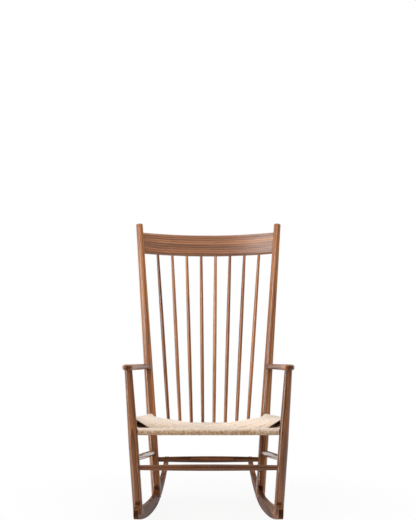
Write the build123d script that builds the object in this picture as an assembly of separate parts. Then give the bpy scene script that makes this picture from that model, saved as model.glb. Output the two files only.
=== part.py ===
"""Spindle-back rocking chair with a woven cord seat, in millimetres.

X runs across the chair, Y from front to back and Z up.  The pieces are laid out with Y = 0
at the front feet and Z = 0 on the floor; the finished chair is then moved so that the origin
lies on the floor under the middle of its bounding box.  Everything is worked out for the side
of +X, and the other side is its mirror image.
"""
from build123d import *
from dataclasses import dataclass, replace
from math import cos, radians, sqrt, tan
import os

# ---- Stance: where the legs and posts meet the rockers, and how they lean -------------------
front_foot_spacing = 478.0      # between the axes of the front legs at their feet
rear_foot_spacing = 392.0       # between the axes of the rear posts at their feet
foot_depth = 460.0              # from the front feet back to the rear feet
leg_splay = 4.3                 # degrees that a front leg leans outward
leg_lean = 5.5                  # degrees that a front leg leans back
post_splay = 4.6                # degrees that a rear post leans outward
post_lean = 18.5                # degrees that a rear post leans back

# ---- Rockers --------------------------------------------------------------------------------
rocker_thickness = 16.0
front_sole_radius = 1960.0      # the sole is flatter in front of the point that it rests on
rear_sole_radius = 755.0
balance_depth = 377.0           # from the front feet, along the rocker, to the point that it rests on
nose_reach = 65.0               # in front of the front feet
tail_reach = 322.0              # behind the rear feet
nose_height = 46.0
waist_height = 44.0
tail_height = 17.0
front_tongue_height = 64.0      # above the sole, where the rocker fills the leg's slot
rear_tongue_height = 67.0
leg_clearance = 16.5            # from the sole up to the end of a front leg
post_clearance = 17.5
rocker_pin_diameter = 8.0
rocker_pin_rise = 24.0          # from the foot of a leg up to its cross pin
tongue_margin = 5.0             # how far a tongue's flat top reaches beyond its leg
tongue_shoulder = 6.0           # how far the tongue's sides lean out on their way down
tongue_round = 7.0
tongue_hollow = 9.0             # radius where a tongue's side runs into the waist
nose_hollow = 4.0               # the same in front of the front tongue

# ---- Front legs and rear posts --------------------------------------------------------------
leg_foot_diameter = 33.5
leg_body_diameter = 34.5
leg_top_diameter = 26.5
leg_body_height = 280.0         # height of the thickest point above the floor
leg_tenon_diameter = 16.0
leg_tenon_length = 12.0
post_foot_diameter = 35.5
post_body_diameter = 36.5
post_top_diameter = 27.5
post_body_height = 330.0
post_height = 1065.5
post_end_round = 2.6

# ---- Arms -----------------------------------------------------------------------------------
arm_front_height = 550.0        # to the middle of the arm's thickness, over the front leg
arm_rear_height = 504.5         # the same at the rear post
arm_thickness = 20.4
arm_overhang = 27.0             # in front of the leg's axis
arm_front_width = 30.0
arm_front_round = 14.0          # of the two corners at the arm's front, seen from above
arm_belly_width = 54.0
arm_rear_width = 32.0
arm_rear_round = 12.0           # of the two corners at its rear end
arm_post_overlap = 5.0          # depth of the hollow in the arm's end that fits round the post
arm_edge_radius = 8.6
arm_belly_place = 0.38          # share of the arm's length, from the leg
arm_hook_place = 0.78           # where the arm turns in towards the post
arm_hook_inset = 5.4            # from the post's axis out to the arm's inner edge at the hook
arm_inward_drift = 10.0         # how far the inner edge comes in between the leg and the belly
arm_dowel_diameter = 10.0
arm_dowel_length = 44.0

# ---- Seat -----------------------------------------------------------------------------------
seat_rail_diameter = 20.0
front_rail_height = 332.5
rear_rail_height = 283.0
side_rail_front_rise = 34.0     # of the side rails' axes above those of the other two
side_rail_rear_rise = 32.0
cord_diameter = 3.1             # one layer of cord round each rail
seat_thickness = 17.0           # both layers of cord and the stuffing between them
weave_margin = 1.0              # between the outermost cords and the legs
weave_longest_triangle = 0.48   # of the seat's depth, so that front and rear triangles stay apart

# ---- Stretchers -----------------------------------------------------------------------------
front_stretcher_height = 210.5
front_stretcher_end = 17.5
front_stretcher_middle = 22.2
rear_stretcher_height = 160.0
rear_stretcher_end = 18.0
rear_stretcher_middle = 24.0
side_stretcher_front_height = 241.0
side_stretcher_rear_height = 184.5
side_stretcher_end = 18.6
side_stretcher_middle = 24.0
tenon_past_axis = 6.0           # every stick ends this far beyond the axis of its leg
stretcher_straight_end = 28.0   # the tenon and a little more, before the swell begins

# ---- Back -----------------------------------------------------------------------------------
crest_height = 88.5
crest_thickness = 16.0
crest_bow = 38.5                # how far the middle of the rail lies behind the posts
crest_below_post_top = 35.2     # along the post, from its end down to the rail's upper edge
crest_edge_radius = 5.0
lower_rail_height = 20.0
lower_rail_thickness = 20.0
lower_rail_bow = 50.0
lower_rail_edge_radius = 4.0
lower_rail_level = 257.5        # height of the middle of the rail
rail_tenon_thickness = 8.0
rail_tenon_shoulder = 5.0       # how far a tenon is cut back from the rail's two edges
spindle_count = 8
spindle_top_pitch = 58.4
spindle_bottom_pitch = 43.4
spindle_top_diameter = 11.2
spindle_belly_diameter = 14.8
spindle_bottom_diameter = 12.4
spindle_belly_place = 0.4       # share of the length, from the lower end
spindle_depth_in_crest = 20.0
spindle_depth_in_lower_rail = 14.0
spindle_straight_end = 24.0     # at both ends, before the swell begins

# ---- Fits -----------------------------------------------------------------------------------
glue_gap = 0.1                  # round every tenon, dowel, pin and tongue
hole_bottom_gap = 1.0           # beyond the end of a tenon
cord_gap = 0.3                  # between the woven seat and the wood


def leaning_axis(foot, splay, lean):
    """A function that gives the point of a leg's axis at any height."""
    def point_at(height):
        rise = height - foot.Z
        return Vector(foot.X + rise * tan(radians(splay)), foot.Y + rise * tan(radians(lean)), height)
    return point_at


def sole_radius(place):
    return front_sole_radius if place < balance_depth else rear_sole_radius


def sole_height(place, above=0.0):
    """Height of the rocker's sole, or of a line at a distance above it, along the rocker."""
    radius = sole_radius(place)
    return radius - sqrt((radius - above) ** 2 - (place - balance_depth) ** 2)


# The two rockers toe in, because the rear feet stand closer together than the front feet.
toe_in = (front_foot_spacing - rear_foot_spacing) / 2
rocker_run = Vector(-toe_in, foot_depth, 0)
rear_foot_place = rocker_run.length
rocker_direction = rocker_run.normalized()
rocker_normal = rocker_direction.cross(Vector(0, 0, 1))
front_foot_on_floor = Vector(front_foot_spacing / 2, 0, 0)
rocker_plane = Plane(origin=front_foot_on_floor, x_dir=rocker_direction, z_dir=rocker_normal)

leg_foot = Vector(front_foot_spacing / 2, 0, sole_height(0) + leg_clearance)
post_foot = Vector(rear_foot_spacing / 2, foot_depth, sole_height(rear_foot_place) + post_clearance)
leg_at = leaning_axis(leg_foot, leg_splay, leg_lean)
post_at = leaning_axis(post_foot, post_splay, post_lean)
side_rail_front_height = front_rail_height + side_rail_front_rise
side_rail_rear_height = rear_rail_height + side_rail_rear_rise

# The back leans with the posts: up along them, and straight back from them.
back_up = Vector(0, tan(radians(post_lean)), 1).normalized()


def between_posts(height):
    """The point midway between the axes of the posts at a height."""
    return Vector(0, post_at(height).Y, height)


@dataclass
class Turning:
    """A round stick from start to end, with its diameters at both ends and at one place between.

    Its side is one long arc through them, or two straight tapers.  Straight ends of equal length
    can be left before and after the arc, for tenons, and the far rim can be rounded.
    """
    start: Vector
    end: Vector
    start_diameter: float
    middle_diameter: float
    end_diameter: float
    middle_place: float = 0.5
    straight_ends: float = 0.0
    tapered: bool = False
    end_round: float = 0.0

    def side(self, low, belly, high):
        if self.start_diameter == self.middle_diameter == self.end_diameter:
            return [Line(low, high)]
        if self.tapered:
            return [Line(low, belly), Line(belly, high)]
        return [ThreePointArc(low, belly, high)]

    def solid(self):
        axis = self.end - self.start
        low = (self.start_diameter / 2, self.straight_ends)
        belly = (self.middle_diameter / 2, self.middle_place * axis.length)
        high = (self.end_diameter / 2, axis.length - self.straight_ends)
        core = [(0, axis.length), (0, 0)]
        if self.straight_ends:
            core = [(high[0], axis.length), *core, (low[0], 0)]
        half_section = make_face([*self.side(low, belly, high), *Polyline(high, *core, low).edges()])
        if self.end_round:
            half_section = fillet(half_section.vertices().sort_by_distance(high)[0], self.end_round)
        return Plane(origin=self.start, z_dir=axis) * revolve(Plane.XZ * half_section, Axis.Z)

    def grown(self, gap, end_gap=0.0):
        """The same stick with a gap all round it, and a gap beyond each end."""
        along = (self.end - self.start).normalized() * end_gap
        return replace(self, start=self.start - along, end=self.end + along,
                       start_diameter=self.start_diameter + 2 * gap,
                       middle_diameter=self.middle_diameter + 2 * gap,
                       end_diameter=self.end_diameter + 2 * gap,
                       straight_ends=self.straight_ends and self.straight_ends + end_gap)

    def sockets(self):
        """The holes that the stick needs: one at each straight end, or one for all of a peg."""
        along = (self.end - self.start).normalized() * self.straight_ends
        pegs = [peg(self.start, self.start + along, self.start_diameter),
                peg(self.end - along, self.end, self.end_diameter)] if self.straight_ends else [self]
        return [hole.grown(glue_gap, hole_bottom_gap).solid() for hole in pegs]


def peg(start, end, diameter):
    """A plain round stick."""
    return Turning(start, end, diameter, diameter, diameter)


def mirrored(point):
    return Vector(-point.X, point.Y, point.Z)


def cross_stick(axis_at, height, end_diameter, middle_diameter, straight_ends=0.0):
    """A stick from the left leg to the right one, ending a little past both axes."""
    end = axis_at(height) + Vector(tenon_past_axis, 0, 0)
    return Turning(mirrored(end), end, end_diameter, middle_diameter, end_diameter,
                   straight_ends=straight_ends)


def side_stick(front_height, rear_height, end_diameter, middle_diameter, straight_ends=0.0):
    """A stick from the front leg to the rear post of one side."""
    start, end = leg_at(front_height), post_at(rear_height)
    beyond = (end - start).normalized() * tenon_past_axis
    return Turning(start - beyond, end + beyond, end_diameter, middle_diameter, end_diameter,
                   straight_ends=straight_ends)


front_seat_rail = cross_stick(leg_at, front_rail_height, seat_rail_diameter, seat_rail_diameter)
rear_seat_rail = cross_stick(post_at, rear_rail_height, seat_rail_diameter, seat_rail_diameter)
side_seat_rail = side_stick(side_rail_front_height, side_rail_rear_height,
                            seat_rail_diameter, seat_rail_diameter)
front_stretcher = cross_stick(leg_at, front_stretcher_height, front_stretcher_end,
                              front_stretcher_middle, stretcher_straight_end)
rear_stretcher = cross_stick(post_at, rear_stretcher_height, rear_stretcher_end,
                             rear_stretcher_middle, stretcher_straight_end)
side_stretcher = side_stick(side_stretcher_front_height, side_stretcher_rear_height,
                            side_stretcher_end, side_stretcher_middle, stretcher_straight_end)


# ---- Rockers --------------------------------------------------------------------------------
def tongue(axis_at, foot_place, tongue_height, leg_diameter):
    """The flat top of the rocker inside a leg's slot: its height and its two ends."""
    top = sole_height(foot_place) + tongue_height
    middle = (axis_at(top) - front_foot_on_floor).dot(rocker_direction)
    half_length = leg_diameter / 2 + tongue_margin
    return top, middle - half_length, middle + half_length


front_tongue = tongue(leg_at, 0, front_tongue_height, leg_foot_diameter)
rear_tongue = tongue(post_at, rear_foot_place, rear_tongue_height, post_foot_diameter)


def square_to_sole(place, height, beyond=0.0):
    """A point at a height square to the sole, and then beyond it along the sole."""
    radius = sole_radius(place)
    lean = (place - balance_depth) / radius
    level = sqrt(1 - lean ** 2)
    return (balance_depth + (radius - height) * lean + beyond * level,
            radius - (radius - height) * level + beyond * lean)


def rocker_outline():
    """Side view of a rocker: arcs along the sole and the waist, and two tongues with flat tops."""
    nose = nose_height / 2 - nose_reach
    tail = rear_foot_place + tail_reach - tail_height / 2
    front_top, front_start, front_end = front_tongue
    rear_top, rear_start, rear_end = rear_tongue

    def sole_arc(start, end, height=0.0):
        places = (start, (start + end) / 2, end)
        return ThreePointArc(*[(place, sole_height(place, height)) for place in places])

    def waist(place):
        return place, sole_height(place, waist_height)

    tail_top, nose_top = square_to_sole(tail, tail_height), square_to_sole(nose, nose_height)
    tail_end = square_to_sole(tail, tail_height / 2, tail_height / 2)
    nose_end = square_to_sole(nose, nose_height / 2, -nose_height / 2)
    behind_rear, before_rear = waist(rear_end + tongue_shoulder), waist(rear_start - tongue_shoulder)
    half_tapered = square_to_sole((tail + rear_end) / 2, (tail_height + waist_height) / 2)
    behind_front, before_front = waist(front_end + tongue_shoulder), waist(front_start - tongue_shoulder)
    outline = make_face([
        sole_arc(nose, balance_depth),
        sole_arc(balance_depth, tail),
        ThreePointArc(square_to_sole(tail, 0), tail_end, tail_top),
        ThreePointArc(tail_top, half_tapered, behind_rear),
        *Polyline(behind_rear, (rear_end, rear_top), (rear_start, rear_top), before_rear).edges(),
        sole_arc(before_rear[0], balance_depth, waist_height),
        sole_arc(balance_depth, behind_front[0], waist_height),
        *Polyline(behind_front, (front_end, front_top), (front_start, front_top),
                  before_front, nose_top).edges(),
        ThreePointArc(nose_top, nose_end, square_to_sole(nose, 0)),
    ])

    def rounded(shape, points, radius):
        return fillet([shape.vertices().sort_by_distance(point)[0] for point in points], radius)

    tops = [(end, top) for top, *ends in (front_tongue, rear_tongue) for end in ends]
    outline = rounded(outline, tops, tongue_round)
    outline = rounded(outline, [behind_rear, before_rear, behind_front], tongue_hollow)
    return rounded(outline, [before_front], nose_hollow)


def tongue_slot(tongue_top):
    """What a leg loses where it straddles the rocker."""
    top, start, end = tongue_top
    depth = top + glue_gap
    blank = Pos((start + end) / 2, depth / 2) * Rectangle(2 * (end - start), depth)
    return extrude(rocker_plane * blank, rocker_thickness / 2 + glue_gap, both=True)


def cross_pin(axis_at, foot, leg_diameter):
    """The dowel that locks a leg to its rocker, square to the rocker's face."""
    middle = axis_at(foot.Z + rocker_pin_rise)
    half = rocker_normal * leg_diameter
    return peg(middle - half, middle + half, rocker_pin_diameter)


leg_pin = cross_pin(leg_at, leg_foot, leg_foot_diameter)
post_pin = cross_pin(post_at, post_foot, post_foot_diameter)


def rocker():
    board = extrude(rocker_plane * rocker_outline(), rocker_thickness / 2, both=True)
    return board - leg_pin.sockets() - post_pin.sockets()


# ---- Arms -----------------------------------------------------------------------------------
arm_on_leg = leg_at(arm_front_height)
arm_on_post = post_at(arm_rear_height)
arm_run = Vector(0, arm_on_post.Y - arm_on_leg.Y, arm_rear_height - arm_front_height)
arm_plane = Plane(origin=(0, arm_on_leg.Y, arm_front_height), x_dir=(1, 0, 0),
                  z_dir=Vector(1, 0, 0).cross(arm_run))


def arm_outline():
    """Plan of an arm: rounded ends, a belly that swells outward and a hook towards the post."""
    length = arm_run.length
    front, rear = arm_on_leg.X, arm_on_post.X
    end = length - post_body_diameter / 2 + arm_post_overlap
    inner_start = (front - arm_front_width / 2, -arm_overhang)
    outer_start = (front + arm_front_width / 2, -arm_overhang)
    inner_end, outer_end = (rear - arm_rear_width / 2, end), (rear + arm_rear_width / 2, end)
    belly = arm_belly_place * length
    inner_belly = (front - arm_front_width / 2 - arm_inward_drift, belly)
    outer_belly = (inner_belly[0] + arm_belly_width, belly)
    hook = (rear + arm_hook_inset, arm_hook_place * length)
    inner_edge = ThreePointArc(inner_start, inner_belly, hook)
    outline = make_face([
        Line(inner_start, outer_start),
        ThreePointArc(outer_start, outer_belly, outer_end),
        Line(outer_end, inner_end),
        TangentArc(hook, inner_end, tangent=inner_edge % 1),
        inner_edge,
    ])
    outline = fillet(outline.vertices().sort_by(Axis.Y)[:2], arm_front_round)
    return fillet(outline.vertices().sort_by(Axis.Y)[-2:], arm_rear_round)


def arm_board():
    board = extrude(arm_plane * arm_outline(), arm_thickness / 2, both=True)
    flat_sides = board.faces().sort_by(SortBy.AREA)[-2:]
    return fillet(flat_sides.edges(), arm_edge_radius)


def leg_tenon():
    """The round tenon on top of a front leg, square in the hole under the arm."""
    start = leg_at(arm_front_height - arm_thickness)
    end = leg_at(arm_front_height - arm_thickness / 2 + leg_tenon_length)
    return peg(start, end, leg_tenon_diameter)


def arm_dowel():
    """The dowel between an arm's rear end and the front of its post."""
    along = arm_run.normalized()
    joint = arm_on_post - along * post_body_diameter / 2
    half = along * arm_dowel_length / 2
    return peg(joint - half, joint + half, arm_dowel_diameter)


# ---- Bowed rails of the back ----------------------------------------------------------------
@dataclass
class BowedRail:
    """A rail between the posts that bows backward."""
    bottom: Vector              # midway between the axes of the posts, at the lower edge
    up: Vector
    height: float
    thickness: float
    bow: float

    def level(self, rise):
        """A plane across the rail, above its lower edge: X across, Y backward."""
        return Plane(origin=self.bottom + self.up * rise, x_dir=(1, 0, 0), z_dir=self.up)

    def half_span(self):
        return post_at(self.level(self.height / 2).origin.Z).X

    def radius(self):
        return (self.half_span() ** 2 + self.bow ** 2) / (2 * self.bow)

    def behind(self, x, offset=0.0):
        """How far the rail's middle line, or one beside it, lies behind the posts at x."""
        return sqrt((self.radius() + offset) ** 2 - x ** 2) - self.radius() + self.bow

    def board(self, thickness, rise, height, beyond=0.0):
        """A curved board on the rail's middle line, as wide as the axes of the posts."""
        reach = self.half_span() + beyond
        arcs = []
        for offset in (thickness / 2, -thickness / 2):
            end = reach * (1 + offset / self.radius())
            side = (end, self.behind(end, offset))
            arcs.append(ThreePointArc((-side[0], side[1]), (0, self.behind(0, offset)), side))
        outer, inner = arcs
        section = make_face([outer, Line(outer @ 1, inner @ 1), inner, Line(inner @ 0, outer @ 0)])
        return extrude(self.level(rise) * section, height)

    def tenons(self, gap=0.0):
        """The thin board that reaches into both posts, or the mortises that it needs."""
        shoulder = rail_tenon_shoulder - gap
        return self.board(rail_tenon_thickness + 2 * gap, shoulder,
                          self.height - 2 * shoulder, tenon_past_axis / 2 + gap)

    def solid(self, edge_radius):
        body = self.board(self.thickness, 0, self.height)
        long_edges = [edge for edge in body.edges() if edge.length > self.half_span()]
        posts = [rear_post_blank(glue_gap), mirror(rear_post_blank(glue_gap), Plane.YZ)]
        shaped = largest(fillet(long_edges, edge_radius) - posts)
        return shaped + self.tenons()


def largest(shape):
    """The biggest solid of a cut shape, without the offcuts."""
    return shape.solids().sort_by(SortBy.VOLUME)[-1]


def rear_post_blank(gap=0.0):
    """A rear post before its holes are cut."""
    body_place = (post_body_height - post_foot.Z) / (post_height - post_foot.Z)
    post = Turning(post_foot, post_at(post_height), post_foot_diameter, post_body_diameter,
                   post_top_diameter, body_place, tapered=True, end_round=post_end_round)
    return post.grown(gap).solid()


def front_leg_blank(gap=0.0):
    """A front leg before its holes are cut, up to the middle of the arm."""
    body_place = (leg_body_height - leg_foot.Z) / (arm_front_height - leg_foot.Z)
    leg = Turning(leg_foot, leg_at(arm_front_height), leg_foot_diameter, leg_body_diameter,
                  leg_top_diameter, body_place, tapered=True)
    return leg.grown(gap).solid()


crest_bottom = post_height - (crest_below_post_top + crest_height) * back_up.Z
crest = BowedRail(between_posts(crest_bottom), back_up, crest_height, crest_thickness, crest_bow)
lower_rail_bottom = between_posts(lower_rail_level) - Vector(0, 0, lower_rail_height / 2)
lower_rail = BowedRail(lower_rail_bottom, Vector(0, 0, 1), lower_rail_height, lower_rail_thickness,
                       lower_rail_bow)


def spindles():
    """Slender sticks that fan out from the lower rail to the crest rail."""
    sticks = []
    for index in range(spindle_count):
        place = index - (spindle_count - 1) / 2
        low_x, high_x = place * spindle_bottom_pitch, place * spindle_top_pitch
        low = lower_rail.level(lower_rail.height).from_local_coords((low_x, lower_rail.behind(low_x), 0))
        high = crest.level(0).from_local_coords((high_x, crest.behind(high_x), 0))
        along = (high - low).normalized()
        sticks.append(Turning(low - along * spindle_depth_in_lower_rail,
                              high + along * spindle_depth_in_crest, spindle_bottom_diameter,
                              spindle_belly_diameter, spindle_top_diameter, spindle_belly_place,
                              spindle_straight_end))
    return sticks


spindle_sticks = spindles()


def drilled(rail, edge_radius):
    """A bowed rail with a hole for every spindle."""
    shape = rail.solid(edge_radius)
    for stick in spindle_sticks:
        shape = shape - stick.sockets()
    return shape


# ---- Legs and posts -------------------------------------------------------------------------
def front_leg():
    """Front leg: slotted over the rocker, drilled for four sticks, coped to the arm above it."""
    arm_below = Pos(0, 0, -glue_gap) * arm_board()
    leg = front_leg_blank() - tongue_slot(front_tongue) - leg_pin.sockets()
    for stick in (front_stretcher, side_stretcher, front_seat_rail, side_seat_rail):
        leg = leg - stick.sockets()
    return largest(leg - arm_below) + leg_tenon().solid()


def rear_post():
    """Rear post: slotted over the rocker and drilled or mortised for all that it carries."""
    post = rear_post_blank()
    post = post - tongue_slot(rear_tongue) - post_pin.sockets() - arm_dowel().sockets()
    for stick in (rear_stretcher, side_stretcher, rear_seat_rail, side_seat_rail):
        post = post - stick.sockets()
    return post - crest.tenons(glue_gap) - lower_rail.tenons(glue_gap)


def arm():
    shape = arm_board() - rear_post_blank(glue_gap)
    return largest(shape) - leg_tenon().sockets() - arm_dowel().sockets()


def flush_pin(pin, leg_shape):
    """A cross pin trimmed flush with the round of its leg."""
    return pin.solid() & leg_shape


# ---- Woven seat -----------------------------------------------------------------------------
seat_front = leg_at(side_rail_front_height).Y + leg_body_diameter / 2 + weave_margin
seat_rear = post_at(side_rail_rear_height).Y - post_body_diameter / 2 / back_up.Z - weave_margin
front_half_width = leg_at(front_rail_height).X - leg_body_diameter / 2 - weave_margin
rear_half_width = post_at(rear_rail_height).X - post_body_diameter / 2 - weave_margin
triangle_reach = min(rear_half_width, weave_longest_triangle * (seat_rear - seat_front))


def along_line(start, end, y):
    """The point at y of the straight line through two points."""
    return start + (end - start) * ((y - start.Y) / (end.Y - start.Y))


def low_point(x, y):
    """A point of the plane through the axes of the front and rear seat rails."""
    front, rear = leg_at(front_rail_height), post_at(rear_rail_height)
    return Vector(x, y, along_line(front, rear, y).Z)


def side_rail_point(y):
    return along_line(leg_at(side_rail_front_height), post_at(side_rail_rear_height), y)


def upright_section(start, end):
    """An upright face as high as the weave is thick, along a line in its middle layer."""
    half = Vector(0, 0, seat_thickness / 2)
    return make_face(Polyline(start + half, end + half, end - half, start - half, close=True).edges())


def level_panel(points):
    """A flat panel of the weave, with its corners in the plane of the low rails."""
    face = make_face(Polyline(*[low_point(x, y) for x, y in points], close=True).edges())
    return extrude(face, seat_thickness / 2, dir=(0, 0, 1)) + extrude(face, seat_thickness / 2, dir=(0, 0, -1))


def side_wing():
    """The triangle of cords that climbs from the middle of the seat up to one side rail."""
    bends = [(rear_half_width, seat_front), (0, seat_front + triangle_reach),
             (0, seat_rear - triangle_reach), (rear_half_width, seat_rear)]
    wing = None
    for (x0, y0), (x1, y1) in zip(bends, bends[1:]):
        inner = upright_section(low_point(x0, y0), low_point(x1, y1))
        outer = upright_section(side_rail_point(y0), side_rail_point(y1))
        panel = loft([inner, outer], ruled=True)
        wing = panel if wing is None else wing + panel
    return wing


def weave():
    """The woven layers as one sheet: two flat triangles and two that climb to the side rails.

    The seat is wider in front, so cords in its two front corners end at the first side cords.
    """
    front_line, rear_line = leg_at(front_rail_height).Y, post_at(rear_rail_height).Y
    front_panel = level_panel([
        (-front_half_width, front_line), (front_half_width, front_line), (front_half_width, seat_front),
        (rear_half_width, seat_front), (0, seat_front + triangle_reach), (-rear_half_width, seat_front),
        (-front_half_width, seat_front)])
    rear_panel = level_panel([
        (-rear_half_width, rear_line), (rear_half_width, rear_line), (rear_half_width, seat_rear),
        (0, seat_rear - triangle_reach), (-rear_half_width, seat_rear)])
    wing = side_wing()
    return front_panel + rear_panel + wing + mirror(wing, Plane.YZ)


def roll(start, end):
    """The cords wound round one rail."""
    return peg(start, end, seat_rail_diameter + 2 * cord_diameter).solid()


def seat():
    front = Vector(front_half_width, leg_at(front_rail_height).Y, front_rail_height)
    rear = Vector(rear_half_width, post_at(rear_rail_height).Y, rear_rail_height)
    side_roll = roll(side_rail_point(seat_front), side_rail_point(seat_rear))
    shape = weave() + roll(mirrored(front), front) + roll(mirrored(rear), rear)
    shape += side_roll + mirror(side_roll, Plane.YZ)
    cutters = [front_leg_blank(cord_gap), rear_post_blank(cord_gap)]
    cutters += [rail.grown(cord_gap).solid() for rail in (front_seat_rail, rear_seat_rail, side_seat_rail)]
    for cutter in cutters:
        shape = shape - cutter - mirror(cutter, Plane.YZ)
    return largest(shape)


# ---- The whole chair ------------------------------------------------------------------------
def build_nodes():
    nodes = {
        "crest_rail": drilled(crest, crest_edge_radius),
        "lower_back_rail": drilled(lower_rail, lower_rail_edge_radius),
        "front_seat_rail": front_seat_rail.solid(),
        "rear_seat_rail": rear_seat_rail.solid(),
        "front_stretcher": front_stretcher.solid(),
        "rear_stretcher": rear_stretcher.solid(),
        "seat": seat(),
    }
    for number, stick in enumerate(spindle_sticks, start=1):
        nodes[f"spindle_{number}"] = stick.solid()
    one_side = {
        "rocker": rocker(),
        "front_leg": front_leg(),
        "rear_post": rear_post(),
        "arm": arm(),
        "side_seat_rail": side_seat_rail.solid(),
        "side_stretcher": side_stretcher.solid(),
        "arm_dowel": arm_dowel().solid(),
        "front_rocker_pin": flush_pin(leg_pin, front_leg_blank()),
        "rear_rocker_pin": flush_pin(post_pin, rear_post_blank()),
    }
    for name, shape in one_side.items():
        nodes[f"{name}_right"] = shape
        nodes[f"{name}_left"] = mirror(shape, Plane.YZ)
    return nodes


def main():
    os.makedirs("parts", exist_ok=True)
    nodes = build_nodes()
    box = Compound(children=[copy for shape in nodes.values() for copy in shape.solids()]).bounding_box()
    to_origin = Pos(0, -(box.min.Y + box.max.Y) / 2, -box.min.Z)
    for name, shape in nodes.items():
        export_step(to_origin * shape, f"parts/{name}.step")
    print(f"{len(nodes)} pieces; {box.size.X:.1f} x {box.size.Y:.1f} x {box.size.Z:.1f} mm")


main()
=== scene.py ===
# %% [markdown]
# # A spindle-back rocking chair in walnut and paper cord
# The chair is joined from turned sticks, sawn boards and two long rockers, and its seat is
# woven from paper cord. The wooden pieces come from an exact model that is loaded below as a
# fixed frame, so this lesson is about finishes and about the seat, which is too fine for a
# CAD model: nearly six hundred separate turns of cord.

# %% Load the frame
import random
from math import acos, atan2, cos, pi, radians, sin

import bpy
from mathutils import Matrix, Vector


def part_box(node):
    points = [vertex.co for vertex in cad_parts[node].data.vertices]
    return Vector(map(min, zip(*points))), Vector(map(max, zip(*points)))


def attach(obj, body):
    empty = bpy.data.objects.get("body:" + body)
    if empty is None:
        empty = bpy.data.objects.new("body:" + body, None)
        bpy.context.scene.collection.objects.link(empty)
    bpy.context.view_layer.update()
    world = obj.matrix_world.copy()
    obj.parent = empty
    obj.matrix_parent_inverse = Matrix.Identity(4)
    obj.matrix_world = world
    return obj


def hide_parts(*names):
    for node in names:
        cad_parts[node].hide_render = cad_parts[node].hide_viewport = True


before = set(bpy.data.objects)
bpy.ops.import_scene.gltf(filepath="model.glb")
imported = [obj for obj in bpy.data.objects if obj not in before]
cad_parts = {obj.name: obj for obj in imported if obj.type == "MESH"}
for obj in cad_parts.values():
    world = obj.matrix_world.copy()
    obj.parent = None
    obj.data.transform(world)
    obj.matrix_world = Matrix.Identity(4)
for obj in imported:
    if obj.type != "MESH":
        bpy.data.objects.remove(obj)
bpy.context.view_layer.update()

# %% [markdown]
# ## Short forms for nodes
# Every finish here is a tree of shader nodes. Such a tree can be drawn by hand in the editor,
# but in a script each node takes several lines. `add_node` makes one node, sets its options
# and either links or sets its inputs, so that a finish reads like a recipe. `maths` and
# `vector_maths` are shorter still, for sums with numbers and with places.

# %% Make nodes in one line each
def add_node(tree, kind, inputs=None, **settings):
    node = tree.nodes.new(kind)
    for name, value in settings.items():
        setattr(node, name, value)
    for socket, value in (inputs or {}).items():
        if isinstance(value, bpy.types.NodeSocket):
            tree.links.new(value, node.inputs[socket])
        else:
            node.inputs[socket].default_value = value
    return node


def maths(tree, operation, *values):
    node = add_node(tree, "ShaderNodeMath", dict(enumerate(values)), operation=operation)
    return node.outputs[0]


def vector_maths(tree, operation, *values, output="Vector"):
    node = add_node(tree, "ShaderNodeVectorMath", dict(enumerate(values)), operation=operation)
    return node.outputs[output]


def new_material(name):
    material = bpy.data.materials.new(name)
    material.use_nodes = True
    material.node_tree.nodes.clear()
    return material


print("short forms for nodes, sums, places and materials")

# %% [markdown]
# ## Colours from a paint card
# Blender works with linear light, where a value of one half already looks quite bright. `tint`
# lets colours be written as on a paint card, from 0 to 255, and turns them into light. A natural
# finish has no single colour but a short scale of them, from dark to light. Mixing nodes could
# make that scale, but a colour ramp holds all of it in one place.

# %% Write colours as on a paint card
def tint(red, green, blue):
    def linear(value):
        share = value / 255
        return share / 12.92 if share <= 0.04045 else ((share + 0.055) / 1.055) ** 2.4
    return linear(red), linear(green), linear(blue), 1.0


def ramp(tree, value, stops):
    """A colour ramp with a list of (place, colour) stops."""
    node = add_node(tree, "ShaderNodeValToRGB", {"Fac": value})
    bar = node.color_ramp
    bar.elements[0].position, bar.elements[0].color = stops[0]
    bar.elements[1].position, bar.elements[1].color = stops[-1]
    for place, colour in stops[1:-1]:
        bar.elements.new(place).color = colour
    return node.outputs["Color"]


print("128 on the paint card is", round(tint(128, 128, 128)[0], 3), "of full light")

# %% [markdown]
# ## Marks from noise
# Wood and cord are covered in marks that never repeat exactly. Noise makes such marks, and when
# it is squeezed across the grain and drawn out along it, its round spots turn into streaks.
# `between` gives a mark an edge, and `vary` lays marks over a shade without making the whole
# finish lighter or darker, so that each kind of mark can be tuned by itself.

# %% Make marks from noise
def stretched(tree, place, across, along):
    """The same place, counted in marks: so many in a metre across the grain and along it."""
    return vector_maths(tree, "MULTIPLY", place, (across, across, along))


def noise(tree, place, detail=2.0, output="Fac"):
    inputs = {"Vector": place, "Scale": 1.0, "Detail": detail}
    return add_node(tree, "ShaderNodeTexNoise", inputs).outputs[output]


def between(tree, value, low, high):
    """0 below low, 1 above high and a smooth step between them."""
    inputs = {"Value": value, "From Min": low, "From Max": high}
    return add_node(tree, "ShaderNodeMapRange", inputs, interpolation_type="SMOOTHSTEP").outputs[0]


def vary(tree, shade, marks, amount):
    """The shade with marks laid over it that are lighter and darker in equal parts."""
    return maths(tree, "MULTIPLY_ADD", maths(tree, "SUBTRACT", marks, 0.5), amount, shade)


print("marks can be stretched, edged and laid over a shade")

# %% [markdown]
# ## The camera
# The chair is seen from the front at about the height of a seated person's eyes, and from far
# enough away that its lines hardly converge. A level camera keeps upright lines upright. The
# same view could be had by tilting a higher camera, but then the posts would lean together.

# %% Place the camera
camera_place = Vector((-0.0014, -4.615, 0.921))
sensor_height = 36.0            # millimetres, as on a film camera held upright
lens_length = 85.8

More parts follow.
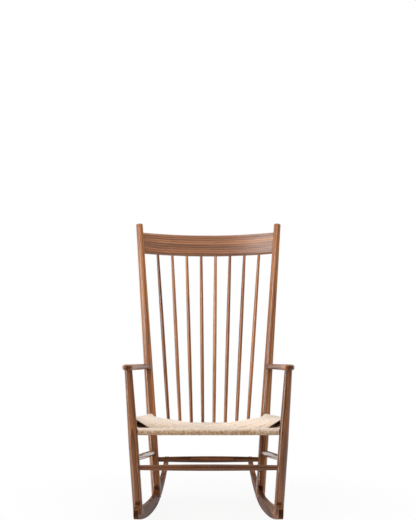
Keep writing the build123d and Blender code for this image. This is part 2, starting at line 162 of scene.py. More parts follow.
view = bpy.data.cameras.new("front_view")
view.sensor_fit = "VERTICAL"
view.sensor_height = sensor_height
view.lens = lens_length
camera = bpy.data.objects.new("front_view", view)
camera.location = camera_place
camera.rotation_euler = (radians(90), 0, 0)
bpy.context.scene.collection.objects.link(camera)
bpy.context.scene.camera = camera
print("camera", round(camera_place.length, 2), "metres from the chair's feet")

# %% [markdown]
# ## The white floor
# A studio floor for furniture is a roll of white paper. It should look white right to the edge
# of the picture and still carry the chair's soft shadow. A floor of plain white paint goes grey
# away from the lamps. So what the camera and the polished wood see is mostly a white glow of
# strength 1, with a share of real white paint in which the shadow shows. That share fades out
# with the distance from the chair, so no horizon shows. The light that bounces up under the
# chair comes from the paint alone.

# %% Make the floor
floor_reach = 30.0
floor_paint = tint(236, 236, 236)
glow_near, glow_far = 0.92, 1.0
fade_start, fade_end = 0.50, 1.0        # metres from the chair's middle


def kinds_of_ray(tree):
    """1 for rays from the camera, and 1 for rays to what polished or clear things show."""
    path = add_node(tree, "ShaderNodeLightPath").outputs
    return path["Is Camera Ray"], maths(tree, "MAXIMUM", path["Is Glossy Ray"],
                                        path["Is Transmission Ray"])


def white_paper():
    material = new_material("white_paper")
    tree = material.node_tree
    paint = add_node(tree, "ShaderNodeBsdfDiffuse", {"Color": floor_paint})
    glow = add_node(tree, "ShaderNodeEmission", {"Color": (1, 1, 1, 1), "Strength": 1.0})
    where = add_node(tree, "ShaderNodeTexCoord").outputs["Object"]
    far = between(tree, vector_maths(tree, "LENGTH", where, output="Value"), fade_start, fade_end)
    glow_share = maths(tree, "MULTIPLY_ADD", far, glow_far - glow_near, glow_near)
    share = maths(tree, "MULTIPLY", maths(tree, "MAXIMUM", *kinds_of_ray(tree)), glow_share)
    mix = add_node(tree, "ShaderNodeMixShader", {0: share, 1: paint.outputs[0], 2: glow.outputs[0]})
    add_node(tree, "ShaderNodeOutputMaterial", {"Surface": mix.outputs[0]})
    return material


def flat_square(name, reach):
    mesh = bpy.data.meshes.new(name)
    corners = [(-reach, -reach, 0), (reach, -reach, 0), (reach, reach, 0), (-reach, reach, 0)]
    mesh.from_pydata(corners, [], [(0, 1, 2, 3)])
    square = bpy.data.objects.new(name, mesh)
    bpy.context.scene.collection.objects.link(square)
    return square


floor = flat_square("studio_floor", floor_reach)
floor.data.materials.append(white_paper())
print("floor", 2 * floor_reach, "metres wide")

# %% [markdown]
# ## The room
# Behind the chair hangs the same white paper, but in front of it the studio is dark. That
# darkness matters: it is what satin wood reflects when one looks straight at it, and it keeps
# brown wood brown. Only where the wood turns away does it catch the white behind it. So the
# world looks white to the camera on every side, while reflections find it white behind the
# chair, and more so to the left, and dim in front. As a light it is weak all round.

# %% Fill the room
room_light = 0.10
white_side = (-0.55, 0.83, 0.0)         # which way the white paper hangs from the chair
white_from, white_to = 0.0, 0.6         # how squarely to it the reflected white starts and is full


def studio_room():
    room = bpy.data.worlds.new("studio_room")
    room.use_nodes = True
    tree = room.node_tree
    tree.nodes.clear()
    direction = add_node(tree, "ShaderNodeTexCoord").outputs["Generated"]
    towards = vector_maths(tree, "DOT_PRODUCT", direction, white_side, output="Value")
    from_camera, reflected = kinds_of_ray(tree)
    white_behind = maths(tree, "MULTIPLY", reflected, between(tree, towards, white_from, white_to))
    shown = maths(tree, "MAXIMUM", from_camera, white_behind)
    strength = maths(tree, "MULTIPLY_ADD", shown, 1 - room_light, room_light)
    sky = add_node(tree, "ShaderNodeBackground", {"Color": (1, 1, 1, 1), "Strength": strength})
    add_node(tree, "ShaderNodeOutputWorld", {"Surface": sky.outputs[0]})
    return room


bpy.context.scene.world = studio_room()
bpy.context.scene.view_settings.view_transform = "Standard"
print("the room gives", room_light, "of full white as light")

# %% [markdown]
# ## Lamps
# The main light is a very wide soft box overhead: it fills the seat and the leaning back with
# light, and the white floor throws part of it back up to whatever faces forward. It hangs a
# little to the right, to make up for the other two. A tall box at the left draws a bright line
# down one side of the turned sticks, and a smaller one, high up on the left and in front, gives
# the satin sheen on the right half of the bowed crest rail.

# %% Hang the lamps
aim = Vector((0, 0, 0.55))
lamps = {                       # place, width and height in metres, and power in watts
    "wide_box_overhead": (Vector((0.3, -0.1, 3.3)), 2.6, 2.2, 84.0),
    "tall_box_left": (Vector((-2.9, -1.3, 1.4)), 0.3, 2.2, 46.0),
    "high_box_left": (Vector((-1.9, -3.3, 3.55)), 1.2, 1.2, 50.0),
}
for name, (place, width, height, power) in lamps.items():
    lamp = bpy.data.lights.new(name, "AREA")
    lamp.shape = "RECTANGLE"
    lamp.size = width
    lamp.size_y = height
    lamp.energy = power
    box = bpy.data.objects.new(name, lamp)
    box.location = place
    box.rotation_euler = (aim - place).to_track_quat("-Z", "Y").to_euler()
    bpy.context.scene.collection.objects.link(box)
print(len(lamps), "lamps")

# %% [markdown]
# ## Walnut as a solid: the growth rings
# The wood of this chair is brown walnut with a satin oil finish. Pictures of veneer could be
# wrapped round the sticks, but they stretch and show seams. Here the wood is a solid texture
# instead: the recipe takes a point inside the plank, with Z along the grain, and says what the
# wood is like there. A stick cut from it shows lines along its sides and rings on its ends, as
# a real one does. The rings come first. They are circles round the pith of the tree, made
# uneven by a slow sway, dark towards the end of each year, and lighter in some years than others.

# %% Grow the rings
ring_width = 0.0088
pith_distance, pith_aside = 0.11, 0.02  # from the middle of a piece to the middle of its tree
ring_sway = 0.010                       # how far a ring strays from its circle, in metres
swaying = (18, 6.0)                     # sways in a metre across the grain and along it
late_wood_edge = 1.8                    # how suddenly the dark wood of a year sets in
change_of_years = 0.43                  # how fast good and bad years take turns


def growth_rings(tree, place):
    """The place moved by the sway, how dark the year has become there, and how light it was."""
    sway = noise(tree, stretched(tree, place, *swaying), output="Color")
    sway = vector_maths(tree, "SUBTRACT", sway, (0.5, 0.5, 0.5))
    bent = vector_maths(tree, "MULTIPLY_ADD", sway, (ring_sway, ring_sway, 0.0), place)
    from_pith = vector_maths(tree, "MULTIPLY_ADD", bent, (1, 1, 0), (pith_distance, pith_aside, 0))
    radius = vector_maths(tree, "LENGTH", from_pith, output="Value")
    years = maths(tree, "DIVIDE", radius, ring_width)
    late_wood = maths(tree, "POWER", maths(tree, "FRACT", years), late_wood_edge)
    good_years = add_node(tree, "ShaderNodeTexNoise", {
        "W": years, "Scale": change_of_years, "Detail": 2.0}, noise_dimensions="1D").outputs["Fac"]
    return bent, late_wood, good_years


print("a ring every", 1000 * ring_width, "mm")

# %% [markdown]
# ## Walnut as a solid: bands, fibres and pores
# Besides its rings, walnut has broad bands of darker and lighter wood, narrow streaks, fine
# fibres and short open pores. Each is noise of its own fineness. A picture could hold them all,
# but not at every size and on every face. All but the pores are laid over one shade, which then
# picks its colour from a ramp, so that any mix of them is still a colour that walnut has. The
# pores are open holes: they stay dark and dull, and they are pits in the relief.

# %% The walnut recipe
walnut_colours = [
    (0.00, tint(66, 36, 21)),
    (0.25, tint(111, 67, 38)),
    (0.50, tint(156, 99, 59)),
    (0.75, tint(190, 127, 77)),
    (1.00, tint(214, 153, 100)),
]
marks_in_walnut = {             # marks in a metre across the grain and along it, and detail
    "band": (42, 1.1, 1.0),
    "streak": (240, 1.1, 2.0),
    "fibre": (800, 3.5, 2.0),
    "pore": (1500, 60, 1.0),
}
middle_shade = 0.63             # before the weights of the marks, which say how strongly they show
band_weight, year_weight, late_wood_weight = 0.85, 0.75, -0.36
streak_weight, fibre_weight = 0.50, 0.50
pore_starts, pore_full = 0.60, 0.70
pore_colour, pore_strength = tint(62, 36, 27), 0.40
smoothest, rougher_fibre, rougher_pore = 0.42, 0.14, 0.18
fibre_height, pore_height = 0.5, -1.0


def walnut_group():
    group = bpy.data.node_groups.new("walnut_wood", "ShaderNodeTree")
    for name, direction, kind in (
            ("Place", "INPUT", "NodeSocketVector"), ("Tone", "INPUT", "NodeSocketFloat"),
            ("Colour", "OUTPUT", "NodeSocketColor"), ("Roughness", "OUTPUT", "NodeSocketFloat"),
            ("Height", "OUTPUT", "NodeSocketFloat")):
        group.interface.new_socket(name, in_out=direction, socket_type=kind)
    given = add_node(group, "NodeGroupInput").outputs
    bent, late_wood, good_years = growth_rings(group, given["Place"])
    band, streak, fibre, pore = [noise(group, stretched(group, bent, across, along), detail)
                                 for across, along, detail in marks_in_walnut.values()]
    pore = between(group, pore, pore_starts, pore_full)

    shade = vary(group, middle_shade, band, band_weight)
    shade = vary(group, shade, good_years, year_weight)
    shade = maths(group, "MULTIPLY_ADD", late_wood, late_wood_weight, shade)
    shade = vary(group, shade, streak, streak_weight)
    shade = vary(group, shade, fibre, fibre_weight)
    shade = maths(group, "ADD", shade, given["Tone"])
    colour = add_node(group, "ShaderNodeMix", {
        "Factor": maths(group, "MULTIPLY", pore, pore_strength),
        6: ramp(group, shade, walnut_colours), 7: pore_colour}, data_type="RGBA").outputs[2]

    roughness = maths(group, "MULTIPLY_ADD", fibre, rougher_fibre, smoothest)
    roughness = maths(group, "MULTIPLY_ADD", pore, rougher_pore, roughness)
    height = maths(group, "MULTIPLY", fibre, fibre_height)
    height = maths(group, "MULTIPLY_ADD", pore, pore_height, height)
    add_node(group, "NodeGroupOutput", {"Colour": colour, "Roughness": roughness, "Height": height})
    return group


walnut_wood = walnut_group()
print("walnut recipe:", len(walnut_wood.nodes), "nodes")

# %% [markdown]
# ## Which way the grain runs
# A chair maker cuts each stick along the grain, so the finish has to know which way a piece
# runs. The directions could be copied from the drawing of the chair, but then they would be
# wrong as soon as the drawing changed. Here they are measured on the piece itself, from the
# middle of one end to the middle of the other.

# %% Find the two ends of a piece
def corners_of(node):
    return [vertex.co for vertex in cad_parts[node].data.vertices]


def middle_of(points):
    """The mean of the points, with each place counted once."""
    places = {tuple(round(value, 6) for value in point) for point in points}
    return sum((Vector(place) for place in places), Vector()) / len(places)


def end_middles(node, share=0.02):
    """The middles of a long piece's two ends."""
    low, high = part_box(node)
    size = high - low
    longest = max(range(3), key=lambda axis: size[axis])
    depth = share * size[longest]
    points = corners_of(node)
    first = [p for p in points if p[longest] < low[longest] + depth]
    last = [p for p in points if p[longest] > high[longest] - depth]
    return middle_of(first), middle_of(last)


def family_of(node):
    """The name that the left and the right piece of a pair share."""
    return node.removesuffix("_left").removesuffix("_right")


post_foot, post_head = end_middles("rear_post_left")
print("a rear post is", round((post_head - post_foot).length, 3), "metres long")

# %% [markdown]
# ## Bent rails
# The crest rail and the lower back rail are straight boards that were steamed and bent, so their
# grain follows the bow. A straight texture would be cut through by the bow and show false ovals.
# The cure is to ask the recipe about the place that each point had before the board was bent:
# the further a point lies from the middle of the rail, the more it is moved back.

# %% Straighten the bent rails
bent_rails = {                  # which way each bends, and by how many metres per square metre
    "crest_rail": (Vector((0, 0.948, -0.317)), 0.60),
    "lower_back_rail": (Vector((0, 1, 0)), 1.05),
}


def unbent(tree, where, way, curve):
    """The place that a point of a bent rail had in the straight board."""
    across = add_node(tree, "ShaderNodeSeparateXYZ", {0: where}).outputs["X"]
    moved = maths(tree, "MULTIPLY", maths(tree, "MULTIPLY", across, across), curve)
    back = add_node(tree, "ShaderNodeVectorMath", {0: way, 3: moved}, operation="SCALE").outputs[0]
    return vector_maths(tree, "ADD", where, back)


print(len(bent_rails), "bent rails")

# %% [markdown]
# ## Where the wood is darker
# Wood that is cut across its grain drinks more oil and turns darker, as on the tips of the posts,
# the pins and the tongues of the rockers. The angle between the surface and the grain says where
# that is. The rear ends of the arms are darker as well: that is painted shade, where each arm
# meets its post. Both could be painted on by hand, but a rule finds every such place by itself.

# %% Darken end grain, and paint shade on the rear ends of the arms
end_grain_tone = -0.28
end_grain_starts, end_grain_full = 0.55, 0.95   # how squarely the surface cuts the grain, up to 1
# Painted shade on the rear ends of the arms, where they meet the posts.
end_shade_tone = -0.26
end_shade_starts, end_shade_full = 1.6, 0.5         # reaches before the end of the piece, where the painted shade starts and is full
shaded_ends = {"arm": 0.028}                   # and how long that reach is, in metres


def end_grain(tree, normal, along):
    """1 where the surface cuts across the grain and 0 where it runs along it."""
    facing = vector_maths(tree, "DOT_PRODUCT", normal, along, output="Value")
    return between(tree, maths(tree, "ABSOLUTE", facing), end_grain_starts, end_grain_full)


def shaded(tree, place, end, reach):
    """1 over the last stretch of a piece, where painted shade darkens it."""
    run = add_node(tree, "ShaderNodeSeparateXYZ", {0: place}).outputs["Z"]
    return between(tree, run, end - end_shade_starts * reach, end - end_shade_full * reach)


print("end grain is", -end_grain_tone, "darker and handled ends", -end_shade_tone)

# %% [markdown]
# ## Oil and polish
# Turned pieces are rubbed down on the lathe and take a smooth coat of oil that draws bright lines
# along them. Sawn boards are duller, most of all the rockers, which stand in everyone's way. The
# numbers are set on the shader's own sockets, one set for each family of pieces. The long edges
# of the rockers are square in the model, and a Bevel node makes them catch the light as if they
# had been eased with a plane. Real bevels would need more faces for the same effect.

# %% Polish the wood
turned_polish = (0.28, 0.9, 0.12)       # specular level, weight of the oil coat and its roughness
polishes = {
    "crest_rail": (0.30, 1.0, 0.26),
    "arm": (0.15, 0.30, 0.12),
    "rocker": (0.03, 0.07, 0.10),
    "front_stretcher": (0.15, 0.4, 0.12),
    "rear_stretcher": (0.15, 0.4, 0.12),
}
eased_edges = {"rocker": 0.004}
relief_strength, relief_depth = 0.35, 0.00025


def oiled_skin(tree, family, wood):
    relief = {"Strength": relief_strength, "Distance": relief_depth, "Height": wood["Height"]}
    if family in eased_edges:
        edge = {"Radius": eased_edges[family]}
        relief["Normal"] = add_node(tree, "ShaderNodeBevel", edge, samples=6).outputs[0]
    specular, coat, coat_roughness = polishes.get(family, turned_polish)
    return add_node(tree, "ShaderNodeBsdfPrincipled", {
        "Base Color": wood["Colour"], "Roughness": wood["Roughness"],
        "Normal": add_node(tree, "ShaderNodeBump", relief).outputs[0],
        "Specular IOR Level": specular, "Coat Weight": coat, "Coat Roughness": coat_roughness})


print(len(polishes) + 1, "kinds of polish")

# %% [markdown]
# ## Every piece from its own plank
# A maker takes the sticks from different planks and different parts of the log. One material for
# all would show the same bands on every spindle, so each piece gets a material of its own. It
# asks the one recipe about its own stretch of wood: turned by a roll, moved along by a shift, and
# lighter or darker by a tone.

# %% Give every wooden piece its walnut
plank_tones = {
    "front_leg": -0.13, "rear_post": 0.06, "arm": 0.01, "rocker": -0.19, "crest_rail": -0.14,
    "front_stretcher": -0.11, "rear_stretcher": -0.07, "side_stretcher": -0.02,
    "spindle_1": -0.08, "spindle_2": 0.10, "spindle_3": 0.09, "spindle_4": 0.10,
    "spindle_5": 0.18, "spindle_6": -0.02, "spindle_8": 0.09,
    # The seat rails are made dark as painted shade, for the gaps at the seat's corners where they
    # show.
    "front_seat_rail": -0.35, "rear_seat_rail": -0.35, "side_seat_rail": -0.35,
}
chosen_rolls = {"crest_rail": 1.6, "arm_left": 0.2, "arm_right": 0.1, "rocker_left": 1.3,
                "rocker_right": 1.5}    # where the maker turned the board to its best side
tone_spread = 0.03              # and how far two planks of one kind may still differ
nearest_cut, furthest_cut = 0.5, 6.0    # metres along the log


def walnut(node, tone, roll, shift):
    family = family_of(node)
    start, end = end_middles(node)
    along = (end - start).normalized()
    turn = along.to_track_quat("Z", "Y").to_matrix() @ Matrix.Rotation(roll, 3, "Z")
    material = new_material("walnut_" + node)
    tree = material.node_tree
    coordinates = add_node(tree, "ShaderNodeTexCoord").outputs
    where = coordinates["Object"]
    if node in bent_rails:
        where = unbent(tree, where, *bent_rails[node])
    place = add_node(tree, "ShaderNodeMapping", {
        "Vector": where, "Location": start - along * shift,
        "Rotation": turn.to_euler()}, vector_type="TEXTURE").outputs[0]
    dark = maths(tree, "MULTIPLY", end_grain(tree, coordinates["Normal"], along), end_grain_tone)
    # Painted shade on the rear ends of the arms.
    if family in shaded_ends:
        end_shade = shaded(tree, place, shift + (end - start).length, shaded_ends[family])
        dark = maths(tree, "MULTIPLY_ADD", end_shade, end_shade_tone, dark)
    wood = add_node(tree, "ShaderNodeGroup", node_tree=walnut_wood)
    tree.links.new(place, wood.inputs["Place"])
    tree.links.new(maths(tree, "ADD", dark, tone), wood.inputs["Tone"])
    skin = oiled_skin(tree, family, wood.outputs)
    add_node(tree, "ShaderNodeOutputMaterial", {"Surface": skin.outputs[0]})
    return material


planks = random.Random(7)
wooden = sorted(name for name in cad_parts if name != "seat")
for name in wooden:
    tone = plank_tones.get(family_of(name), 0.0) + planks.uniform(-tone_spread, tone_spread)
    roll = chosen_rolls.get(name, planks.uniform(0, 2 * pi))
    material = walnut(name, tone, roll, planks.uniform(nearest_cut, furthest_cut))
    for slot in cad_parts[name].material_slots:
        slot.material = material
print(len(wooden), "wooden pieces")

# %% [markdown]
# ## The seat rails, as the cord finds them
# The cord is wound round four rails, and the weave starts from their centre lines. They aren't
# written down again here: they are measured from the rails themselves, so the seat always fits.
# The side rails lie higher than the other two, and that is why the seat dips like a saddle.

# %% Measure the rails and the width of the weave
cord_radius = 0.00155
front_left, front_right = end_middles("front_seat_rail")
rear_left, rear_right = end_middles("rear_seat_rail")
side_front, side_rear = end_middles("side_seat_rail_right")
rail_radius = (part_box("front_seat_rail")[1].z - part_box("front_seat_rail")[0].z) / 2
winding_radius = rail_radius + cord_radius

weave_points = corners_of("seat")
front_half_width = max(p.x for p in weave_points if p.y < front_left.y)
rear_half_width = max(p.x for p in weave_points if p.y > rear_left.y)
rear_roll_top = rear_left.z + rail_radius + 2 * cord_radius
flush = 0.0002                  # points this close to the side of the weave lie on it
front_roll_end = front_left.y + 2 * winding_radius
seat_front = max(p.y for p in weave_points
                 if abs(p.x - front_half_width) < flush and p.y < front_roll_end)
seat_rear = max(p.y for p in weave_points if p.z > rear_roll_top + 4 * cord_radius)
print("weave", round(2 * front_half_width, 3), "wide in front,", round(2 * rear_half_width, 3),
      "at the back,", round(seat_rear - seat_front, 3), "deep at the sides")

# %% [markdown]
# ## One turn of cord
# Each turn leaves the middle of the seat, runs flat to a rail, goes round it and comes back
# underneath, so seen from the side it is a long letter C. Where it meets the turns that come
# from the next rail it dives under them. A curve with a bevel could draw it, but hundreds of
# curves are slow to edit and to export. Short tubes of eight sides in one mesh are light, and
# they can carry what the finish needs: how far each point lies along its cord and round it.

# %% The path of one turn
sheet_half_thickness = 0.0068   # from the middle of the weave to the centre of each layer of cord
dive_length = 0.0036
dive_depth = 0.0040
steps_round_rail = 9


def low_height(y):
    """Height of the plane through the centre lines of the front and rear rails."""
    share = (y - front_left.y) / (rear_left.y - front_left.y)
    return front_left.z + share * (rear_left.z - front_left.z)


def side_rail_at(y):
    share = (y - side_front.y) / (side_rear.y - side_front.y)
    return side_front + (side_rear - side_front) * share


def touching_angle(point, side):
    """Where a straight run from a point meets the winding round the rail: 1 on top, -1 below."""
    spread = acos(min(1.0, winding_radius / Vector(point).length))
    return atan2(point[1], point[0]) - side * spread


def turn_path(inner, rail, outward, lift):
    """Points of a turn, in an upright plane from inner to rail; outward leaves the seat."""
    reach = (inner - rail).dot(outward)
    upper = (reach, inner.z + lift + sheet_half_thickness - rail.z)
    lower = (reach, inner.z + lift - sheet_half_thickness - rail.z)
    first = touching_angle(upper, 1) % (2 * pi)
    last = touching_angle(lower, -1) % (2 * pi) - 2 * pi
    flat = [(upper[0] - dive_length, upper[1] - dive_depth), upper]
    for step in range(steps_round_rail + 1):
        angle = first + (last - first) * step / steps_round_rail
        flat.append((winding_radius * cos(angle), winding_radius * sin(angle)))
    flat += [lower, (lower[0] - dive_length, lower[1] + dive_depth)]
    return [rail + outward * across + Vector((0, 0, up)) for across, up in flat]


print("the cord runs", round(1000 * winding_radius, 2), "mm from the middle of a rail")

# %% [markdown]
# ## The four triangles
# Front and rear cords run straight back and forth, side cords run straight across. They meet
# along the diagonals, and between the two points where the diagonals end the side cords meet
# each other in a seam. The seat is wider in front, so the two front corners are filled with
# short turns that end under the first side cord. A weaver pulls some turns a little tighter
# than others, so each turn also lies a hair higher or lower than its neighbours.

# %% Lay out every turn
cord_pitch = 2 * cord_radius
deepest_share = 0.48            # of the seat's depth, for the front triangle and for the rear one
triangle_reach = min(rear_half_width, deepest_share * (seat_rear - seat_front))
uneven_lift = 0.00055
hand = random.Random(11)


def spread(low, high):
    """Places for cords side by side from low to high, as tight as they go."""
    count = int((high - low) / cord_pitch)
    return [low + (high - low) * (index + 0.5) / count for index in range(count)]


def front_turns():
    for x in spread(-front_half_width, front_half_width):
        share = max(0.0, 1 - abs(x) / rear_half_width)
        y = seat_front + share * triangle_reach
        rail = Vector((x, front_left.y, front_left.z))
        yield Vector((x, y, low_height(y))), rail, Vector((0, -1, 0))


def rear_turns():
    for x in spread(-rear_half_width, rear_half_width):
        y = seat_rear - (1 - abs(x) / rear_half_width) * triangle_reach
        rail = Vector((x, rear_left.y, rear_left.z))
        yield Vector((x, y, low_height(y))), rail, Vector((0, 1, 0))


def side_turns():
    for y in spread(seat_front, seat_rear):
        share = max(0.0, 1 - min(y - seat_front, seat_rear - y) / triangle_reach)
        rail = side_rail_at(y)
        for side in (-1, 1):
            inner = Vector((side * share * rear_half_width, y, low_height(y)))
            yield inner, Vector((side * rail.x, y, rail.z)), Vector((side, 0, 0))


turns = []
for inner, rail, outward in [*front_turns(), *rear_turns(), *side_turns()]:
    lift = hand.gauss(0, uneven_lift)
    turns.append((turn_path(inner, rail, outward, lift), outward))
print(len(turns), "turns of cord")

# %% [markdown]
# ## A tone for every turn
# A weaver cuts the cord into lengths that are easy to pull through, and ties each one to the
# last under the seat. No two lengths are quite the same colour, so the tone drifts slowly from
# turn to turn, and each turn also differs a little from the next. Noise in the material could
# do the same, but it wouldn't stop at the edge of a cord.

# %% Tones that drift from length to length
turns_per_length = 12
darkest_length, length_range, turn_range = 0.1, 0.3, 0.5
length_tones = [hand.random() for _ in range(len(turns) // turns_per_length + 2)]


def drifting_tone(index):
    """A tone that drifts slowly from turn to turn."""
    length, share = divmod(index / turns_per_length, 1)
    share = share * share * (3 - 2 * share)
    first, second = length_tones[int(length)], length_tones[int(length) + 1]
    return darkest_length + length_range * (first + share * (second - first))


print(len(length_tones) - 1, "lengths of cord,", turns_per_length, "turns in each")

# %% [markdown]
# ## Tubes from paths
# Each ring of a tube stands square to its path, and because every path lies in an upright plane,
# one of the ring's directions is simply the normal of that plane. Blender's own curve bevel finds
# such rings too, but here they are needed point by point, to be numbered for the finish.

# %% Rings round a path
tube_sides = 8


def tube_rings(path, outward):
    plane_normal = outward.cross(Vector((0, 0, 1)))
    rings = []
    for index, point in enumerate(path):
        before, after = path[max(index - 1, 0)], path[min(index + 1, len(path) - 1)]
        forward = (after - before).normalized()
        up = plane_normal.cross(forward)
        rings.append([point + cord_radius * (cos(2 * pi * k / tube_sides) * plane_normal
                                             + sin(2 * pi * k / tube_sides) * up)
                      for k in range(tube_sides)])
    return rings


def distances(path):
    total, found = 0.0, [0.0]
    for first, second in zip(path, path[1:]):
        total += (second - first).length
        found.append(total)
    return found


cord_length = sum(distances(path)[-1] for path, _ in turns)
print("the seat takes", round(cord_length), "metres of cord")

# %% [markdown]
# ## The seat as one mesh
# All turns become one mesh, and it stands for the plain seat of the exact model. Two things are
# stored with it for the finish: a UV map that says how far along the cord and how far round it a
# corner lies, and the tone of each turn on its faces.

# %% Build the mesh of the seat
vertices, faces, run_and_turn, tones = [], [], [], []
for index, (path, outward) in enumerate(turns):
    tone, offset = drifting_tone(index) + turn_range * hand.random(), hand.random()
    along = distances(path)
    first_vertex = len(vertices)
    for ring in tube_rings(path, outward):
        vertices += ring
    for ring in range(len(path) - 1):
        for side in range(tube_sides):
            low = first_vertex + ring * tube_sides
            high = low + tube_sides
            following = (side + 1) % tube_sides
            faces.append((low + side, low + following, high + following, high + side))
            for place, turned in ((ring, side), (ring, side + 1),
                                  (ring + 1, side + 1), (ring + 1, side)):
                run_and_turn += [along[place] + offset, turned / tube_sides]
            tones.append(tone)
    for end, order in ((first_vertex, -1), (len(vertices) - tube_sides, 1)):
        faces.append(tuple(range(end, end + tube_sides))[::order])
        run_and_turn += [offset, 0.0] * tube_sides
        tones.append(tone)

weave_mesh = bpy.data.meshes.new("woven_seat")
weave_mesh.from_pydata(vertices, [], faces)
weave_mesh.polygons.foreach_set("use_smooth", [len(face) == 4 for face in faces])
weave_mesh.uv_layers.new(name="cord_run").data.foreach_set("uv", run_and_turn)
weave_mesh.attributes.new("cord_tone", "FLOAT", "FACE").data.foreach_set("value", tones)
woven_seat = bpy.data.objects.new("woven_seat", weave_mesh)
bpy.context.scene.collection.objects.link(woven_seat)
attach(woven_seat, "root")
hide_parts("seat")
print(len(faces), "faces in the seat")

# %% [markdown]
# ## The strands of the cord
# Paper cord is three strips of pale brown paper, each rolled into a strand and twisted together.
# Close up one sees slanting grooves between the strands. They come from a wave that climbs round
# the cord, drawn in the UV map made above. Geometry for the strands would multiply the mesh by
# three for a detail that is under a millimetre wide, so a bump does that work.

# %% Twist the strands
strand_pitch = 0.011            # length in which a strand goes once round the cord
strands = 3


def twisted_strands(tree, along, around):
    """1 in the middle of a groove, falling to 0 on the crest of each strand."""
    climb = maths(tree, "ADD", maths(tree, "DIVIDE", along, strand_pitch), around)
    phase = maths(tree, "FRACT", maths(tree, "MULTIPLY", climb, float(strands)))
    return maths(tree, "ABSOLUTE", maths(tree, "MULTIPLY_ADD", phase, 2.0, -1.0))


print(strands, "strands, a groove every", round(1000 * strand_pitch / strands, 1), "mm")

# %% [markdown]
# ## The colour of the cord
# From a step away one sees tones, not strands: the cord is painted paler where it faces up, as
# painted light on the top of the seat, each turn has its own tone, and the paper has cloudy
# patches, short flecks and a faint fuzz. They are all laid over one shade, as for the walnut. A
# second colour is painted shade in the grooves and the gaps between neighbouring cords, where
# little light gets in. Shadows alone would leave the gaps too pale, because these tubes are
# smoother than real paper.

# %% Colour the cord
cord_colours = [
    (0.00, tint(190, 144, 98)),
    (0.35, tint(224, 184, 140)),
    (0.70, tint(246, 220, 190)),
    (1.00, tint(252, 237, 219)),
]
# Painted shade, laid into the grooves between strands and the gaps where cords touch.
gap_shade_colour = tint(150, 108, 72)
groove_shade_share, gap_shade_share = 0.50, 0.60
groove_narrowness = 2.5
flank_starts, flank_full = 0.70, 1.0    # 1 is where a cord touches the next one
raw_shade = -0.11                       # of a turn with no tone, on a face turned down, away from the painted top light
painted_top_light = 0.78                      # painted light, from the underside of the seat to its top
top_light_starts, top_light_full = 0.0, 0.8   # how far the surface faces up where the painted light starts and is full; 1 is straight up
tone_weight, patch_weight, fleck_weight, fuzz_weight = 0.74, 0.22, 1.7, 0.30
patches_per_metre = 16
flecks_per_metre = (110, 45, 110)


def cord_shade(tree, where, upward, tone, fuzz):
    patch = noise(tree, stretched(tree, where, patches_per_metre, patches_per_metre), detail=3.0)
    fleck = noise(tree, vector_maths(tree, "MULTIPLY", where, flecks_per_metre), detail=1.0)
    # Painted light: faces that look up are paler, as where the lamps fall on the top of the seat.
    top_light = between(tree, upward, top_light_starts, top_light_full)
    shade = maths(tree, "MULTIPLY_ADD", top_light, painted_top_light, raw_shade)
    shade = maths(tree, "MULTIPLY_ADD", tone, tone_weight, shade)
    shade = maths(tree, "MULTIPLY_ADD", patch, patch_weight, shade)
    shade = vary(tree, shade, fleck, fleck_weight)
    return vary(tree, shade, fuzz, fuzz_weight)


def painted_gap_shade(tree, colour, groove, around):
    """The colour with painted shade in the grooves, and on the flanks where a cord touches its
    neighbours.
    """
    flank = maths(tree, "COSINE", maths(tree, "MULTIPLY", around, 2 * pi))
    flank = between(tree, maths(tree, "ABSOLUTE", flank), flank_starts, flank_full)
    in_groove = maths(tree, "POWER", groove, groove_narrowness)
    in_groove = maths(tree, "MULTIPLY", in_groove, groove_shade_share)
    deep = maths(tree, "MAXIMUM", in_groove, maths(tree, "MULTIPLY", flank, gap_shade_share))
    return add_node(tree, "ShaderNodeMix", {"Factor": deep, 6: colour, 7: gap_shade_colour},
                    data_type="RGBA").outputs[2]


print("cord from", [round(part, 2) for part in cord_colours[0][1][:3]], "to",
      [round(part, 2) for part in cord_colours[-1][1][:3]])

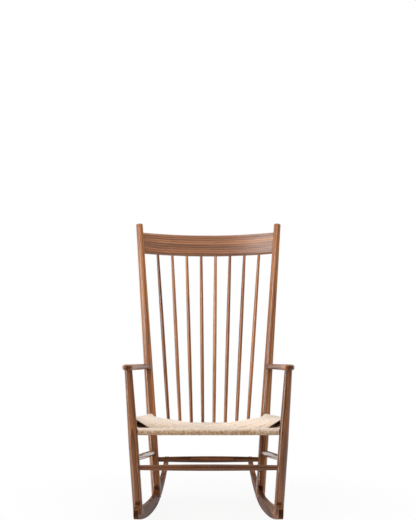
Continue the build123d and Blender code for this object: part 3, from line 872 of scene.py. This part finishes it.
# %% [markdown]
# ## The finish of the cord
# The last step joins the pieces. Paper is matt, with a soft shine from the loose fibres at its
# surface, and sheen is the shader's name for that. The relief has round strands with narrow
# grooves, and the fuzz roughens it a little.

# %% Finish the cord
fuzz_per_metre = 2400
strand_fullness = 3.0           # a higher number gives wider strands and narrower grooves
cord_relief, cord_relief_depth, fuzz_height = 0.8, 0.0004, 0.15
cord_roughness, rougher_fuzz = 0.42, 0.16
cord_gloss, loose_fibres, fibre_spread = 0.5, 0.3, 0.4


def paper_cord():
    material = new_material("paper_cord")
    tree = material.node_tree
    run = add_node(tree, "ShaderNodeUVMap", uv_map="cord_run").outputs[0]
    parts = add_node(tree, "ShaderNodeSeparateXYZ", {"Vector": run}).outputs
    groove = twisted_strands(tree, parts["X"], parts["Y"])
    coordinates = add_node(tree, "ShaderNodeTexCoord").outputs
    where = coordinates["Object"]
    upward = add_node(tree, "ShaderNodeSeparateXYZ", {0: coordinates["Normal"]}).outputs["Z"]
    tone = add_node(tree, "ShaderNodeAttribute", attribute_name="cord_tone").outputs["Fac"]
    fuzz = noise(tree, stretched(tree, where, fuzz_per_metre, fuzz_per_metre), detail=2.0)

    colour = ramp(tree, cord_shade(tree, where, upward, tone, fuzz), cord_colours)
    strand = maths(tree, "SUBTRACT", 1.0, maths(tree, "POWER", groove, strand_fullness))
    height = maths(tree, "MULTIPLY_ADD", fuzz, fuzz_height, strand)
    bump = add_node(tree, "ShaderNodeBump", {
        "Strength": cord_relief, "Distance": cord_relief_depth, "Height": height})
    skin = add_node(tree, "ShaderNodeBsdfPrincipled", {
        "Base Color": painted_gap_shade(tree, colour, groove, parts["Y"]),
        "Roughness": maths(tree, "MULTIPLY_ADD", fuzz, rougher_fuzz, cord_roughness),
        "Normal": bump.outputs[0], "Specular IOR Level": cord_gloss,
        "Sheen Weight": loose_fibres, "Sheen Roughness": fibre_spread})
    add_node(tree, "ShaderNodeOutputMaterial", {"Surface": skin.outputs[0]})
    return material


weave_mesh.materials.append(paper_cord())
print("paper cord:", len(weave_mesh.materials[0].node_tree.nodes), "nodes")
